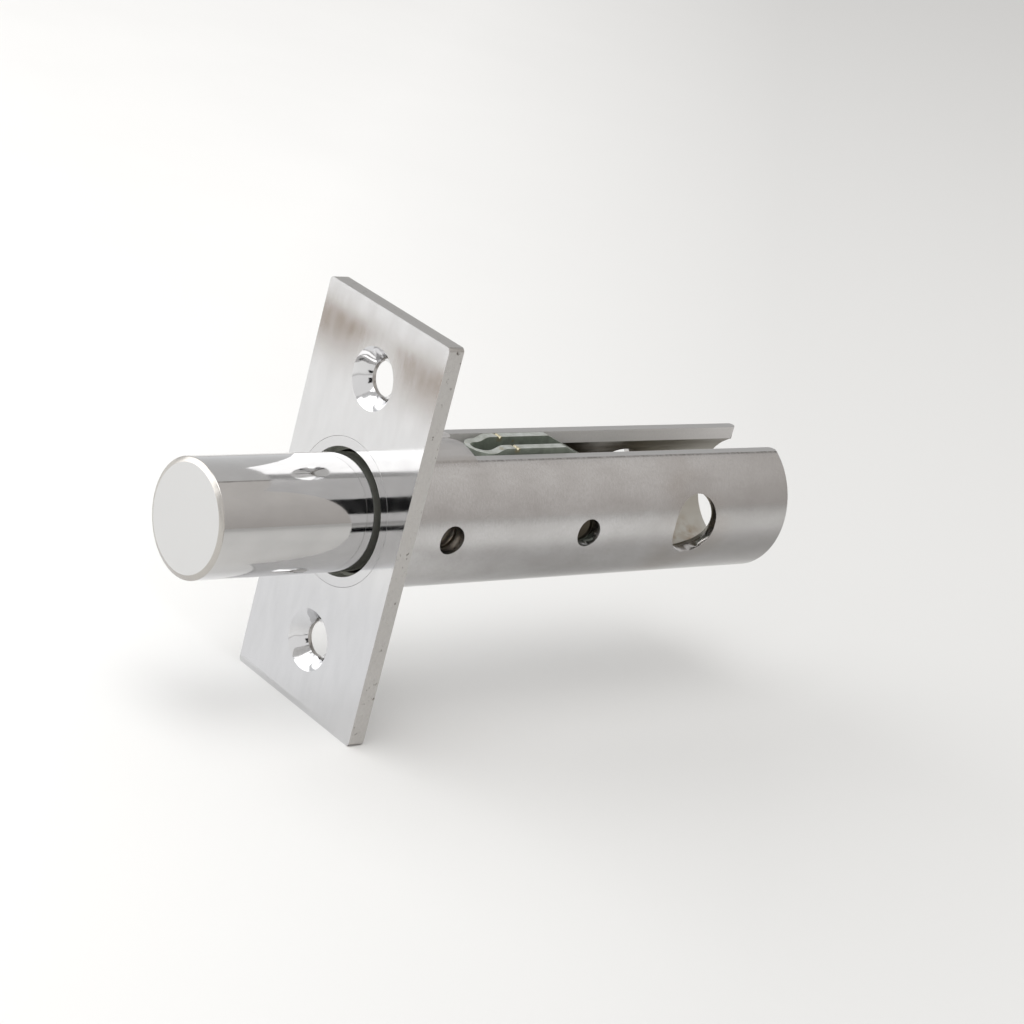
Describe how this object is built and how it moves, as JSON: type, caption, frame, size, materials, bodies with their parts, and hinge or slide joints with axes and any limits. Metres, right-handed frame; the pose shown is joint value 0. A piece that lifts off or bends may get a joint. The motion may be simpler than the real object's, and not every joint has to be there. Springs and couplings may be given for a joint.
{
  "type": "mortice door bolt",
  "caption": "Mortice door bolt: round chromed bolt sliding in a slotted rolled case behind a rectangular faceplate, moved by a fluted key through a side keyhole.",
  "frame": {"origin": "on the bolt's axis, in the back face of the faceplate, midway between the two fixing screws", "axes": "+X along the bolt from its nose towards the case's open tail, +Z along the faceplate's long side with the case's slot on top, +Y across the door's thickness"},
  "size_m": [0.1004, 0.0264, 0.057],
  "materials": {
    "plate_chrome": "polished chrome with fine brushing along its length",
    "case_nickel": "satin nickel plated sheet steel",
    "bolt_chrome": "polished chrome",
    "zinc_plate": "zinc plated pressed strip with a slight yellow cast",
    "plain_steel": "plain bright steel",
    "ball_steel": "polished bearing steel"
  },
  "bodies": {
    "case": {"faceplate": "plate_chrome", "case_tube": "case_nickel"},
    "bolt": {"bolt_rod": "bolt_chrome", "rack_carriage": "zinc_plate", "carriage_pin": "plain_steel", "detent_ball_near": "ball_steel", "detent_ball_far": "ball_steel", "detent_spring": "plain_steel"}
  },
  "joints": [
    {"name": "bolt_slide", "type": "slide", "parent": "case", "child": "bolt", "axis": [1, 0, 0], "range_m": [0, 0.0248]}
  ]
}
